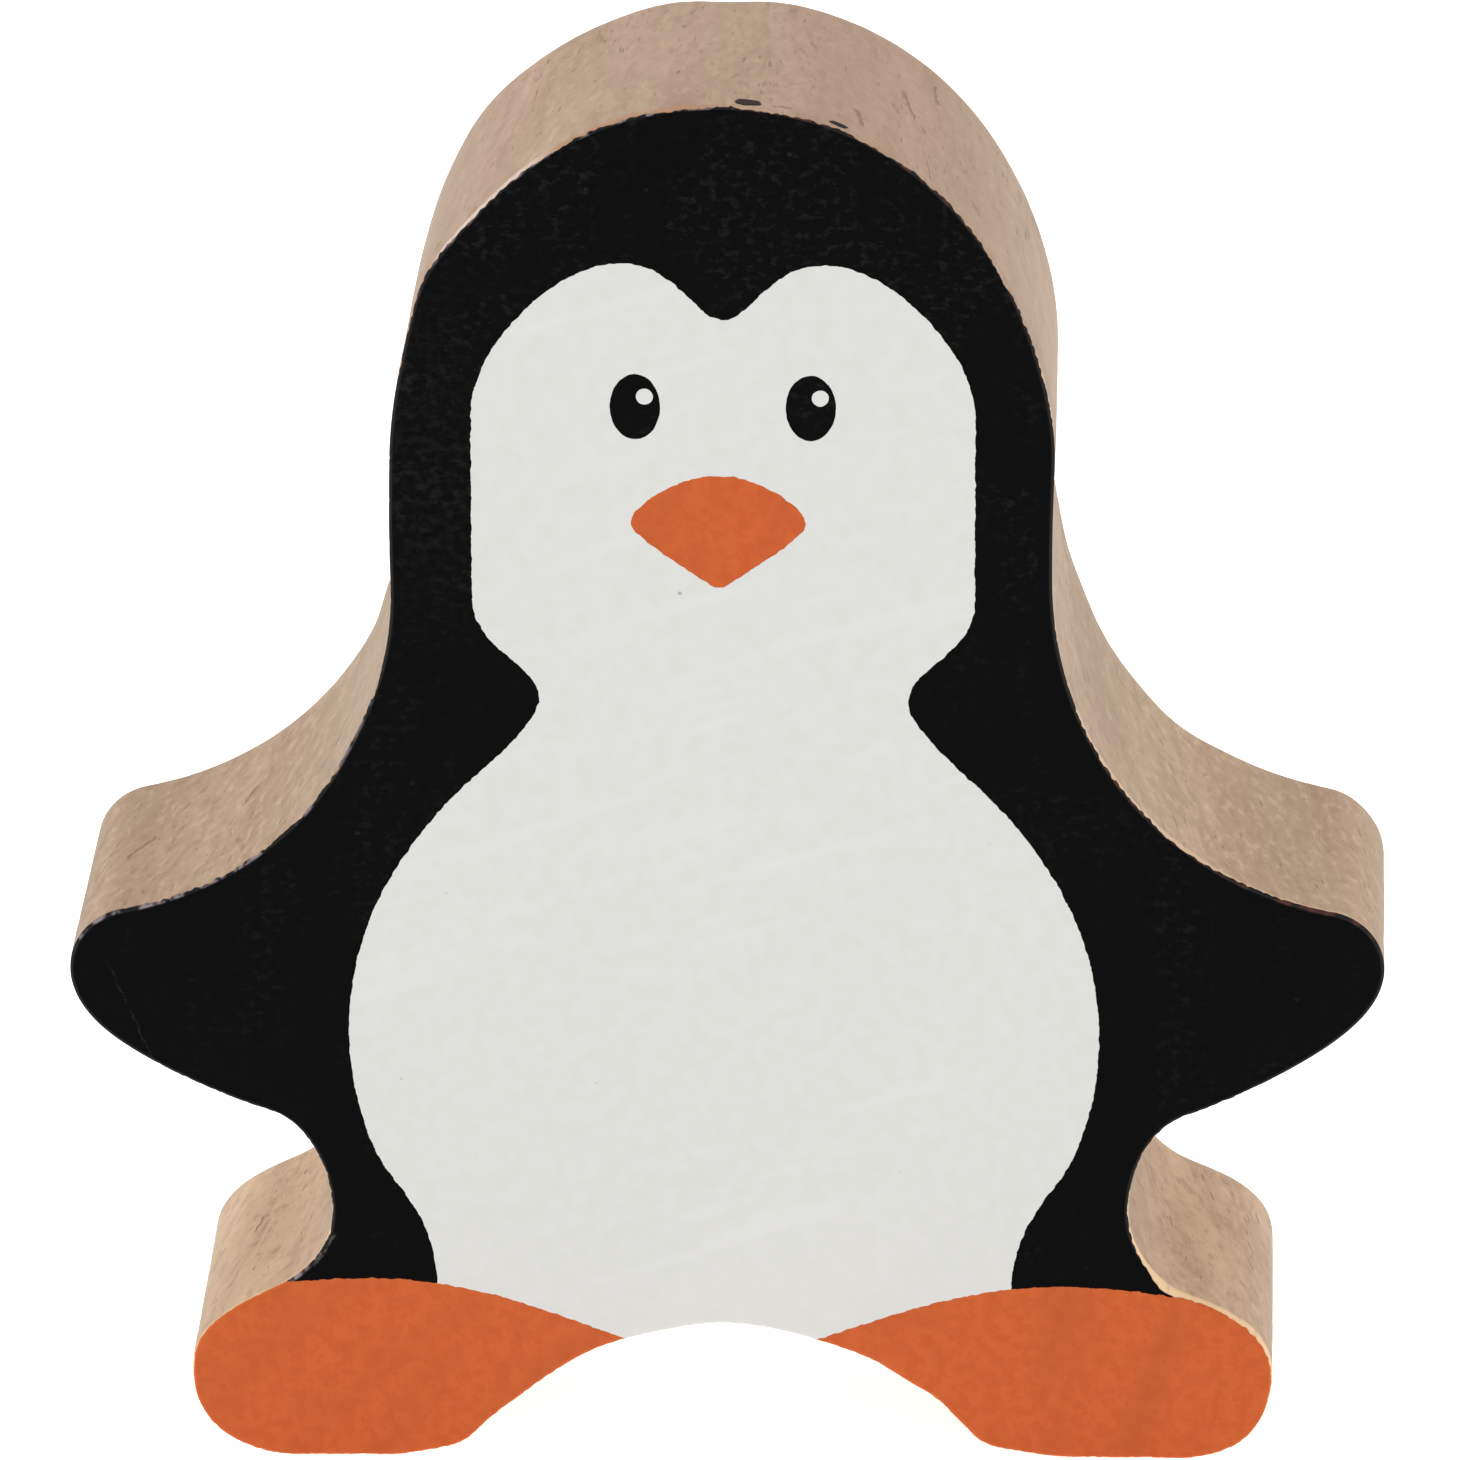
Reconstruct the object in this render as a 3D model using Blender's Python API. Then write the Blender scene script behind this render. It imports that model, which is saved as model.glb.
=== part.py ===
"""A small wooden penguin for a tabletop game.

One thick board is sawn to a penguin outline and its edges are eased. Its front carries a
screen print: a black coat, a white face and belly, an orange beak, two orange feet and
two eyes. Every colour is its own thin film, held a hair off the wood and off its
neighbours. Sizes are in millimetres, and the meshes are made in metres. The figure stands
on its soles at the origin, faces -Y, and left and right are those of someone facing it.
"""

from collections import namedtuple
from math import ceil, cos, hypot, pi, radians, sin

import bmesh
import bpy
from mathutils import Vector
from mathutils.geometry import interpolate_bezier

MM = 0.001

# The whole figure
FIGURE_HEIGHT = 60.0
FIGURE_THICKNESS = 15.0
ARRIS = 0.3
ARRIS_STEPS = 2

# Head: the dome and the straight cheeks hang from the crown
HEAD_WIDTH = 27.3
HEAD_DOME = 15.6
HEAD_DEPTH = 20.6

# Wings: heights are above the soles
WING_SPAN = 54.9
WING_TIP_HEIGHT = 22.1
WING_TIP_RISE = 2.65
WING_TIP_SET_BACK = 2.15
ARMPIT_WIDTH = 38.4
ARMPIT_HEIGHT = 15.75

# Waist and feet
WAIST_WIDTH = 33.5
WAIST_HEIGHT = 11.2
ANKLE_WIDTH = 37.0
FOOT_SPAN = 45.6
FOOT_HEIGHT = 8.0
TOE_HEIGHT = 3.9
SOLE_OUTER_WIDTH = 37.2
SOLE_INNER_WIDTH = 29.6
HEEL_WIDTH = 22.8
HEEL_LIFT = 0.6
HEEL_ROUNDING = 1.1

# The arch between the feet is sawn a little to one side of the middle
ARCH_HEIGHT = 6.0
ARCH_SHOULDER_WIDTH = 11.4
ARCH_SHOULDER_DROP = 1.2
ARCH_SHIFT = -0.43

# Ink films
INK_THICKNESS = 0.12
INK_LIFT = 0.3
INK_CLEARANCE = 0.2
INK_MARGIN = ARRIS + 0.05

# The print as a whole sits slightly turned and slipped on the blank
PRINT_TURN = -0.57
PRINT_SLIP = -0.35
ORANGE_SLIP = -0.2

# Face: heights are measured down from the crown
COAT_BAND = 3.25
BROW_DROP = 9.2
LOBE_DROP = 6.8
LOBE_SPACING = 8.3
TEMPLE_DROP = 11.45
TEMPLE_SET_BACK = 0.45
CHEEK_TOP_DROP = 13.6
CHEEK_LOW_DROP = 21.7
JAW_DROP = 23.25
JAW_SET_BACK = 0.7
NAPE_DROP = 25.85
NAPE_WIDTH = 15.3

# Belly and legs
SHIRT_SHOULDER_WIDTH = 20.5
SHIRT_SHOULDER_DROP = 29.25
BELLY_WIDTH = 31.4
BELLY_HEIGHT = 19.2
THIGH_WIDTH = 28.0
THIGH_HEIGHT = 12.7
LEG_WIDTH = 24.2
INSTEP_HALF_WIDTH = 14.5
INSTEP_TIP_HALF_WIDTH = 3.0
INSTEP_TIP_DROP = 3.1

# Eyes and beak
EYE_WIDTH = 1.98
EYE_HEIGHT = 2.74
EYE_SPACING = 7.24
EYE_DROP = 13.0
GLINT_DIAMETER = 0.72
GLINT_CLEARANCE = 0.12
GLINT_RIGHT = 0.36
GLINT_UP = 0.44
BEAK_DROP = 16.1
BEAK_WIDTH = 7.1
BEAK_CORNER_DROP = 1.95
BEAK_HEIGHT = 4.75

# How finely curves are followed
CURVE_STEP = 0.8
FEWEST_STEPS = 4
ROUND_STEPS = 28

# Front planes: Y runs from the printed face to the back
FRONT = -FIGURE_THICKNESS / 2
INK_BACK = FRONT + INK_THICKNESS
BLANK_FRONT = INK_BACK + INK_LIFT
BLANK_BACK = FIGURE_THICKNESS / 2
CUTTER_REACH = 1.0
OFF_THE_BLANK = 4.0

# Colours, linear
WOOD = (0.49, 0.36, 0.25)
BLACK = (0.006, 0.006, 0.006)
WHITE = (0.74, 0.74, 0.72)
ORANGE = (0.60, 0.12, 0.034)

# A point on an outline: where it is, which way the line runs there in degrees (0 is to
# the right, -90 is down), and how far the curve leans on that direction before and after
# it, as a share of the distance to its neighbour.
Knot = namedtuple("Knot", "x z heading lean_in lean_out")
STRAIGHT = 1 / 3


# Outlines

def curve_through(knots):
    """Points on the smooth line through the knots, both ends included."""
    points = []
    for start, end in zip(knots, knots[1:]):
        span = hypot(end.x - start.x, end.z - start.z)
        away = Vector((cos(radians(start.heading)), sin(radians(start.heading))))
        into = Vector((cos(radians(end.heading)), sin(radians(end.heading))))
        first = Vector((start.x, start.z))
        last = Vector((end.x, end.z))
        handle = first + away * start.lean_out * span
        other = last - into * end.lean_in * span
        steps = max(FEWEST_STEPS, ceil(span / CURVE_STEP))
        points += interpolate_bezier(first, handle, other, last, steps + 1)[:-1]
    points.append(last)
    return points


def mirrored(points):
    """The same line on the other side, run the other way."""
    return [Vector((-point.x, point.y)) for point in reversed(points)]


def closed(right, left):
    """One loop from a right half and a left half that share both ends."""
    return right[:-1] + left[:-1]


def offset(loop, distance):
    """The loop moved outwards by a distance, or inwards by a negative one.

    Loops run clockwise as seen from the front, so outwards is to the left of the line.
    """
    moved = []
    for before, point, after in zip(loop[-1:] + loop[:-1], loop, loop[1:] + loop[:1]):
        arriving = (point - before).normalized()
        leaving = (after - point).normalized()
        side = Vector((-arriving.y - leaving.y, arriving.x + leaving.x)).normalized()
        across = side.x * -arriving.y + side.y * arriving.x
        moved.append(point + side * distance / max(across, 0.5))
    return moved


def registered(loop, slip=0.0):
    """Artwork placed where the print falls on the blank."""
    turn = radians(PRINT_TURN)
    placed = []
    for point in loop:
        x = point.x + slip
        z = point.y
        placed.append(Vector((PRINT_SLIP + x * cos(turn) - z * sin(turn),
                              x * sin(turn) + z * cos(turn))))
    return placed


def ellipse(x, z, width, height):
    """A clockwise ellipse."""
    angles = [-2 * pi * step / ROUND_STEPS for step in range(ROUND_STEPS)]
    return [Vector((x + width / 2 * cos(a), z + height / 2 * sin(a))) for a in angles]


def blank_half(arch_shift):
    """Right half of the blank, from the crown to the top of the arch."""
    wing = WING_SPAN / 2
    return curve_through([
        Knot(0, FIGURE_HEIGHT, 0, 0, 0.395),
        Knot(HEAD_WIDTH / 2, FIGURE_HEIGHT - HEAD_DOME, -90, 0.405, STRAIGHT),
        Knot(HEAD_WIDTH / 2, FIGURE_HEIGHT - HEAD_DEPTH, -90, STRAIGHT, 0.43),
        Knot(wing - WING_TIP_SET_BACK, WING_TIP_HEIGHT + WING_TIP_RISE, -11, 0.34, 0.34),
        Knot(wing, WING_TIP_HEIGHT, -92, 0.42, 0.26),
        Knot(ARMPIT_WIDTH / 2, ARMPIT_HEIGHT, -159, 0.38, 0.28),
        Knot(WAIST_WIDTH / 2, WAIST_HEIGHT, -90, 0.43, 0.42),
        Knot(ANKLE_WIDTH / 2, FOOT_HEIGHT, -38, 0.27, 0.25),
        Knot(FOOT_SPAN / 2, TOE_HEIGHT, -92, 0.44, 0.40),
        Knot(SOLE_OUTER_WIDTH / 2, 0, 180, 0.40, STRAIGHT),
        Knot(SOLE_INNER_WIDTH / 2, 0, 180, STRAIGHT, 0.40),
        Knot(HEEL_WIDTH / 2 + arch_shift, HEEL_LIFT, 158, 0.20, 0.35),
        Knot(HEEL_WIDTH / 2 - HEEL_ROUNDING + arch_shift, HEEL_LIFT + 0.8, 136, 0.50, 0.39),
        Knot(ARCH_SHOULDER_WIDTH / 2 + arch_shift, ARCH_HEIGHT - ARCH_SHOULDER_DROP,
             157, 0.20, 0.33),
        Knot(arch_shift, ARCH_HEIGHT, 180, 0.24, 0),
    ])


def blank_outline():
    return closed(blank_half(ARCH_SHIFT), mirrored(blank_half(-ARCH_SHIFT)))


def white_outline():
    """Face and belly in one, run on below the legs for the feet and the arch to trim."""
    cheek = HEAD_WIDTH / 2 - COAT_BAND
    half = curve_through([
        Knot(0, FIGURE_HEIGHT - BROW_DROP, 0, 0, 0.24),
        Knot(LOBE_SPACING / 2, FIGURE_HEIGHT - LOBE_DROP, 0, 0.475, 0.36),
        Knot(cheek - TEMPLE_SET_BACK, FIGURE_HEIGHT - TEMPLE_DROP, -68, 0.23, 0.40),
        Knot(cheek, FIGURE_HEIGHT - CHEEK_TOP_DROP, -90, 0.36, STRAIGHT),
        Knot(cheek, FIGURE_HEIGHT - CHEEK_LOW_DROP, -90, STRAIGHT, 0.20),
        Knot(cheek - JAW_SET_BACK, FIGURE_HEIGHT - JAW_DROP, -129, 0.38, 0.34),
        Knot(NAPE_WIDTH / 2, FIGURE_HEIGHT - NAPE_DROP, -92, 0.33, 0.21),
        Knot(SHIRT_SHOULDER_WIDTH / 2, FIGURE_HEIGHT - SHIRT_SHOULDER_DROP, -43, 0.23, 0.28),
        Knot(BELLY_WIDTH / 2, BELLY_HEIGHT, -90, 0.41, 0.42),
        Knot(THIGH_WIDTH / 2, THIGH_HEIGHT, -126, 0.22, 0.25),
        Knot(LEG_WIDTH / 2, FOOT_HEIGHT, -92, 0.44, STRAIGHT),
        Knot(LEG_WIDTH / 2, -OFF_THE_BLANK, -90, STRAIGHT, 0),
    ])
    half.append(Vector((0, -OFF_THE_BLANK)))
    return closed(half, mirrored(half))


def right_foot_outline():
    """Everything under the instep line, run on past the blank for it to trim."""
    beyond = FOOT_SPAN / 2 + OFF_THE_BLANK
    instep = curve_through([
        Knot(INSTEP_TIP_HALF_WIDTH, FOOT_HEIGHT - INSTEP_TIP_DROP, 24, 0, 0.33),
        Knot(INSTEP_HALF_WIDTH, FOOT_HEIGHT, 0, 0.38, STRAIGHT),
        Knot(beyond, FOOT_HEIGHT, 0, STRAIGHT, 0),
    ])
    corners = [Vector((beyond, -OFF_THE_BLANK)),
               Vector((INSTEP_TIP_HALF_WIDTH, -OFF_THE_BLANK))]
    return instep + corners


def beak_outline():
    top = FIGURE_HEIGHT - BEAK_DROP
    corner = top - BEAK_CORNER_DROP
    tip = top - BEAK_HEIGHT
    half = curve_through([
        Knot(0, top, 0, 0, 0.36),
        Knot(BEAK_WIDTH / 2 - 0.64, corner + 0.88, -41, 0.33, 0.40),
        Knot(BEAK_WIDTH / 2, corner, -86, 0.30, 0.40),
        Knot(BEAK_WIDTH / 2 - 0.45, corner - 0.7, -138, 0.30, 0.32),
        Knot(0.31, tip + 0.09, -147, 0.17, 0.30),
        Knot(0, tip, 180, 0.30, 0),
    ])
    return closed(half, mirrored(half))


def eye_outline(side):
    return ellipse(side * EYE_SPACING / 2, FIGURE_HEIGHT - EYE_DROP, EYE_WIDTH, EYE_HEIGHT)


def glint_outline(side, clearance=0.0):
    """The small round light in an eye, on the same side of both eyes."""
    return ellipse(side * EYE_SPACING / 2 + GLINT_RIGHT,
                   FIGURE_HEIGHT - EYE_DROP + GLINT_UP,
                   GLINT_DIAMETER - 2 * clearance,
                   GLINT_DIAMETER - 2 * clearance)


# Solids

def finish(name, colour, roughness):
    material = bpy.data.materials.new(name)
    material.use_nodes = True
    shader = material.node_tree.nodes["Principled BSDF"]
    shader.inputs["Base Color"].default_value = (*colour, 1.0)
    shader.inputs["Roughness"].default_value = roughness
    shader.inputs["Metallic"].default_value = 0.0
    return material


def plate(name, loop, front, back, arris=0.0):
    """A flat plate of this outline between two depths, its rims eased if asked."""
    shape = bmesh.new()
    rim = [shape.verts.new((point.x * MM, front * MM, point.y * MM)) for point in loop]
    face = shape.faces.new(rim)
    grown = bmesh.ops.extrude_face_region(shape, geom=[face])["geom"]
    moved = [part for part in grown if isinstance(part, bmesh.types.BMVert)]
    bmesh.ops.translate(shape, verts=moved, vec=(0, (back - front) * MM, 0))
    bmesh.ops.recalc_face_normals(shape, faces=shape.faces)
    if arris:
        rims = [edge for edge in shape.edges
                if abs(edge.verts[0].co.y - edge.verts[1].co.y) < arris * MM / 2]
        bmesh.ops.bevel(shape, geom=rims, offset=arris * MM, segments=ARRIS_STEPS,
                        profile=0.5, affect="EDGES", material=-1)
    mesh = bpy.data.meshes.new(name)
    shape.to_mesh(mesh)
    shape.free()
    mesh.shade_smooth()
    mesh.set_sharp_from_angle(angle=radians(35))
    solid = bpy.data.objects.new(name, mesh)
    bpy.context.collection.objects.link(solid)
    return solid


def film(name, loop, colour, roughness=0.45):
    solid = plate(name, loop, FRONT, INK_BACK)
    solid.data.materials.append(finish(name, colour, roughness))
    return solid


def cutter(name, loop):
    solid = plate(name, loop, FRONT - CUTTER_REACH, INK_BACK + CUTTER_REACH)
    solid.hide_render = True
    solid.display_type = "WIRE"
    return solid


def trim(solid, tool, operation):
    cut = solid.modifiers.new(tool.name, "BOOLEAN")
    cut.operation = operation
    cut.solver = "EXACT"
    cut.object = tool


def clear_scene():
    for thing in list(bpy.data.objects):
        bpy.data.objects.remove(thing)


def build_blank():
    blank = plate("wood_body", blank_outline(), BLANK_FRONT, BLANK_BACK, ARRIS)
    blank.data.materials.append(finish("wood", WOOD, 0.6))


def build_print():
    """Black, white and orange films that tile the front of the blank."""
    printable = offset(blank_outline(), -INK_MARGIN)
    white = registered(white_outline())
    right_foot = registered(right_foot_outline(), ORANGE_SLIP)
    left_foot = registered(mirrored(right_foot_outline()), ORANGE_SLIP)
    beak = registered(beak_outline(), ORANGE_SLIP)

    whole_front = cutter("cut_front", printable)
    around_white = cutter("cut_white", offset(white, INK_CLEARANCE))
    around_beak = cutter("cut_beak", offset(beak, INK_CLEARANCE))

    coat = film("black_coat", printable, BLACK)
    shirt = film("white_front", white, WHITE)
    trim(shirt, whole_front, "INTERSECT")
    trim(shirt, around_beak, "DIFFERENCE")
    trim(coat, around_white, "DIFFERENCE")
    film("beak", beak, ORANGE)

    for name, outline in (("left_foot", left_foot), ("right_foot", right_foot)):
        foot = film(name, outline, ORANGE)
        trim(foot, whole_front, "INTERSECT")
        around_foot = cutter("cut_" + name, offset(outline, INK_CLEARANCE))
        trim(shirt, around_foot, "DIFFERENCE")
        trim(coat, around_foot, "DIFFERENCE")

    for name, side in (("left_eye", -1), ("right_eye", 1)):
        outline = registered(eye_outline(side))
        around_eye = cutter("cut_" + name, offset(outline, INK_CLEARANCE))
        trim(shirt, around_eye, "DIFFERENCE")
        eye = film(name, outline, BLACK)
        hole = cutter("cut_" + name + "_glint", registered(glint_outline(side)))
        trim(eye, hole, "DIFFERENCE")
        film(name + "_glint", registered(glint_outline(side, GLINT_CLEARANCE)), WHITE)


clear_scene()
build_blank()
build_print()
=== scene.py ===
"""The looks of the small wooden penguin: bare beech, four printed inks and a plain studio.

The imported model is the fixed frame. Outlines are drawn in millimetres on the upright front
plane (x to the right, z up from the soles), and meshes are made in metres. Left and right
are those of someone facing the figure.
"""

from collections import namedtuple
from math import ceil, cos, exp, hypot, pi, radians, sin, tan

import bmesh
import bpy
from mathutils import Matrix, Vector, noise
from mathutils.geometry import interpolate_bezier


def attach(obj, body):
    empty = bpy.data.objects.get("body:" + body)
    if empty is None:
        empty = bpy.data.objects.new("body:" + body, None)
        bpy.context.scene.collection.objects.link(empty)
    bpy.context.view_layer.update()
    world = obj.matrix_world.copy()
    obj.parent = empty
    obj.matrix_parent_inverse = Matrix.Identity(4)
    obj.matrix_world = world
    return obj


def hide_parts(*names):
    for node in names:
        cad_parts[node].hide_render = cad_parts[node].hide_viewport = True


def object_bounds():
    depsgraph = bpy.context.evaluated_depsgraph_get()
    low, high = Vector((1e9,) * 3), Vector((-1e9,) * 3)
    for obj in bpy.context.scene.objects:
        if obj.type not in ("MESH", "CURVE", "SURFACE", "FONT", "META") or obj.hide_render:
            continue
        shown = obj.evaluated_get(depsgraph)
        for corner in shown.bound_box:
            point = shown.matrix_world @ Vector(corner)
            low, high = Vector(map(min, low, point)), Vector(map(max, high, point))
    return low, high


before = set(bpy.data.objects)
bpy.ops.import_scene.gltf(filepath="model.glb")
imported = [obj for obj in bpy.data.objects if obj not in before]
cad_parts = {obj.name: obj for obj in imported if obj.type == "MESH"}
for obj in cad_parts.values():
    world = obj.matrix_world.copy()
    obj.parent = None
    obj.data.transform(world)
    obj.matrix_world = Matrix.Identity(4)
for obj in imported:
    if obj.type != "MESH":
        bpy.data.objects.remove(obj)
cad_low, cad_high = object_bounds()

MM = 0.001

# The whole figure, as the frame has it
CROWN = cad_high.z / MM
WING = (cad_high.x - cad_low.x) / MM / 2
FRONT = cad_low.y / MM
BACK = cad_high.y / MM

# Wood and ink
INK = 0.03
WOOD_FRONT = FRONT + INK
ARRIS = 0.24
ARRIS_STEPS = 5
HOLDING_RING = 0.05
SIDE_ROWS = 28
SANDING = 0.03

# Head: heights hang from the crown
HEAD_WIDTH = 27.3
HEAD_DOME = 15.6
HEAD_DEPTH = 20.6

# Wings, waist and feet: heights are above the soles
WING_TIP_HEIGHT = 22.1
WING_TIP_RISE = 2.65
WING_TIP_SET_BACK = 2.15
ARMPIT_WIDTH = 38.4
ARMPIT_HEIGHT = 15.75
WAIST_WIDTH = 33.5
WAIST_HEIGHT = 11.2
ANKLE_WIDTH = 37.0
FOOT_SPAN = 45.6
FOOT_HEIGHT = 8.0
TOE_HEIGHT = 3.9
SOLE_OUTER_WIDTH = 37.2
SOLE_INNER_WIDTH = 29.6
HEEL_WIDTH = 22.8
HEEL_LIFT = 0.6
HEEL_ROUNDING = 1.1
ARCH_HEIGHT = 6.0
ARCH_SHOULDER_WIDTH = 11.4
ARCH_SHOULDER_DROP = 1.2
ARCH_SHIFT = -0.43

# The print sits slightly turned and slipped on the blank
PRINT_TURN = -0.57
PRINT_SLIP = -0.35
ORANGE_SLIP = -0.2

# Face
COAT_BAND = 3.25
BROW_DROP = 9.2
LOBE_DROP = 6.8
LOBE_SPACING = 8.3
TEMPLE_DROP = 11.45
TEMPLE_SET_BACK = 0.45
CHEEK_TOP_DROP = 13.6
CHEEK_LOW_DROP = 21.7
JAW_DROP = 23.25
JAW_SET_BACK = 0.7
NAPE_DROP = 25.85
NAPE_WIDTH = 15.3

# Belly and legs
SHIRT_SHOULDER_WIDTH = 20.5
SHIRT_SHOULDER_DROP = 29.25
BELLY_WIDTH = 31.4
BELLY_HEIGHT = 19.2
THIGH_WIDTH = 28.0
THIGH_HEIGHT = 12.7
LEG_WIDTH = 24.2
INSTEP_HALF_WIDTH = 14.5
INSTEP_TIP_HALF_WIDTH = 3.0
INSTEP_TIP_DROP = 2.95
INSTEP_FALL = 0.30
INSTEP_SLOPE = 8.5
OFF_THE_BLANK = 4.0

# Eyes and beak
EYE_WIDTH = 2.08
EYE_HEIGHT = 2.84
EYE_SPACING = 7.24
EYE_DROP = 13.0
GLINT_DIAMETER = 0.70
GLINT_RIGHT = 0.39
GLINT_UP = 0.44
BEAK_DROP = 16.0
BEAK_WIDTH = 7.22
BEAK_CORNER_DROP = 2.02
BEAK_HEIGHT = 4.87

# How finely lines are followed, and how far a printed edge wanders
WOOD_STEP = 0.25
PRINT_STEP = 0.10
RAGGED = 0.05
RAGGED_GRAIN = 0.30
RIM_GRAIN = 0.24
ROUND_STEPS = 96

# Where hand sanding left the outline fuller (or, below zero, leaner) than drawn, at the
# front and at the back, and where the ink stops short of the rim: the middle of the
# place, how much at most, and how far it spreads
Place = namedtuple("Place", "x z amount spread")
FULLER = [Place(-12.0, 52.6, 0.34, 2.4), Place(-13.7, 41.0, 0.12, 4.0),
          Place(-15.2, 32.5, 0.18, 3.5), Place(13.7, 45.5, 0.14, 3.0),
          Place(-26.6, 19.8, 0.14, 2.6), Place(-22.0, 17.3, 0.12, 4.5),
          Place(20.0, 16.0, 0.14, 3.0), Place(-19.5, 7.6, 0.12, 2.0),
          Place(18.6, 8.0, -0.12, 1.3), Place(-22.3, 1.8, 0.12, 1.5),
          Place(21.4, 1.2, 0.24, 2.0), Place(-8.5, 3.0, 0.16, 3.4),
          Place(10.8, 0.8, 0.10, 0.9), Place(8.5, 2.6, -0.12, 1.0),
          Place(0.0, 6.0, -0.10, 3.0), Place(-11.6, 0.7, 0.10, 1.2),
          Place(4.7, 5.4, 0.07, 1.4)]
FULLER_BEHIND = [Place(-10.0, 55.2, 0.20, 3.2), Place(-13.2, 49.2, -0.08, 2.4),
                 Place(0.0, 60.0, -0.16, 1.6), Place(13.4, 47.8, 0.10, 3.0),
                 Place(13.7, 39.6, -0.16, 1.6), Place(14.7, 33.8, 0.10, 1.8),
                 Place(-14.6, 33.9, 0.22, 1.4), Place(18.9, 27.8, -0.20, 2.4),
                 Place(27.0, 23.8, -0.14, 1.8), Place(27.4, 20.8, 0.24, 1.8),
                 Place(20.8, 6.4, 0.16, 3.4), Place(-20.2, 6.9, 0.14, 3.0)]
BARE_RIM = [Place(-9.0, 56.7, 0.04, 2.2), Place(-6.0, 58.8, 0.07, 2.6),
            Place(-1.5, 60.0, 0.06, 2.2), Place(2.2, 59.9, 0.09, 2.0),
            Place(6.6, 58.3, 0.08, 1.7), Place(8.9, 56.6, 0.05, 0.5),
            Place(11.6, 52.6, 0.09, 2.0), Place(-20.0, 27.0, 0.02, 4.0),
            Place(18.0, 29.0, 0.04, 4.0), Place(18.3, 8.1, 0.22, 1.2),
            Place(20.6, 7.0, 0.11, 2.0), Place(22.2, 5.6, 0.08, 1.4),
            Place(27.4, 21.5, -0.12, 4.5),
            Place(-27.4, 21.5, -0.12, 4.5), Place(13.7, 41.0, -0.06, 6.0),
            Place(-13.7, 41.0, -0.06, 6.0), Place(-19.5, 7.4, -0.06, 3.0)]
LEAST_BARE = 0.012
RIM_COVER = 0.02
RIM_WANDER = 0.06
RIM_WANDER_LENGTH = 1.3
RIM_RAGGED = 0.08

# A point on an outline: where it is, which way the line runs there in degrees (0 is to
# the right, -90 is down), and how far the curve leans on that direction before and after
# it, as a share of the distance to its neighbour.
Knot = namedtuple("Knot", "x z heading lean_in lean_out")
STRAIGHT = 1 / 3


# Outlines

def curve_through(knots, step):
    """Points on the smooth line through the knots, both ends included."""
    points = []
    for start, end in zip(knots, knots[1:]):
        span = hypot(end.x - start.x, end.z - start.z)
        away = Vector((cos(radians(start.heading)), sin(radians(start.heading))))
        into = Vector((cos(radians(end.heading)), sin(radians(end.heading))))
        first = Vector((start.x, start.z))
        last = Vector((end.x, end.z))
        handle = first + away * start.lean_out * span
        other = last - into * end.lean_in * span
        steps = max(2, ceil(span / step))
        points += interpolate_bezier(first, handle, other, last, steps + 1)[:-1]
    points.append(last)
    return points


def mirrored(points):
    """The same line on the other side, run the other way."""
    return [Vector((-point.x, point.y)) for point in reversed(points)]


def closed(right, left):
    """One loop from a right half and a left half that share both ends."""
    return right[:-1] + left[:-1]


def offset(loop, distance):
    """The clockwise loop moved outwards by a distance, which may differ from point to point."""
    moved = []
    for before, point, after in zip(loop[-1:] + loop[:-1], loop, loop[1:] + loop[:1]):
        along = (after - before).normalized()
        out = distance(point) if callable(distance) else distance
        moved.append(point + Vector((-along.y, along.x)) * out)
    return moved


def sum_at(places, point):
    """What the places add up to at a point."""
    return sum(place.amount * exp(-((point.x - place.x) ** 2 + (point.y - place.z) ** 2)
                                  / place.spread ** 2) for place in places)


def ragged(loop, seed, amount=RAGGED):
    """The loop with the small wandering of an ink edge on wood."""
    def wander(point):
        place = Vector((point.x, point.y, seed)) / RAGGED_GRAIN
        return amount * (noise.noise(place) + 0.6 * noise.noise(place * 2.7))
    return offset(loop, wander)


def registered(loop, slip=0.0):
    """Artwork placed where the print falls on the blank."""
    turn = radians(PRINT_TURN)
    placed = []
    for point in loop:
        x = point.x + slip
        z = point.y
        placed.append(Vector((PRINT_SLIP + x * cos(turn) - z * sin(turn),
                              x * sin(turn) + z * cos(turn))))
    return placed


def ellipse(x, z, width, height):
    """A clockwise ellipse."""
    angles = [-2 * pi * step / ROUND_STEPS for step in range(ROUND_STEPS)]
    return [Vector((x + width / 2 * cos(a), z + height / 2 * sin(a))) for a in angles]


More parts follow.
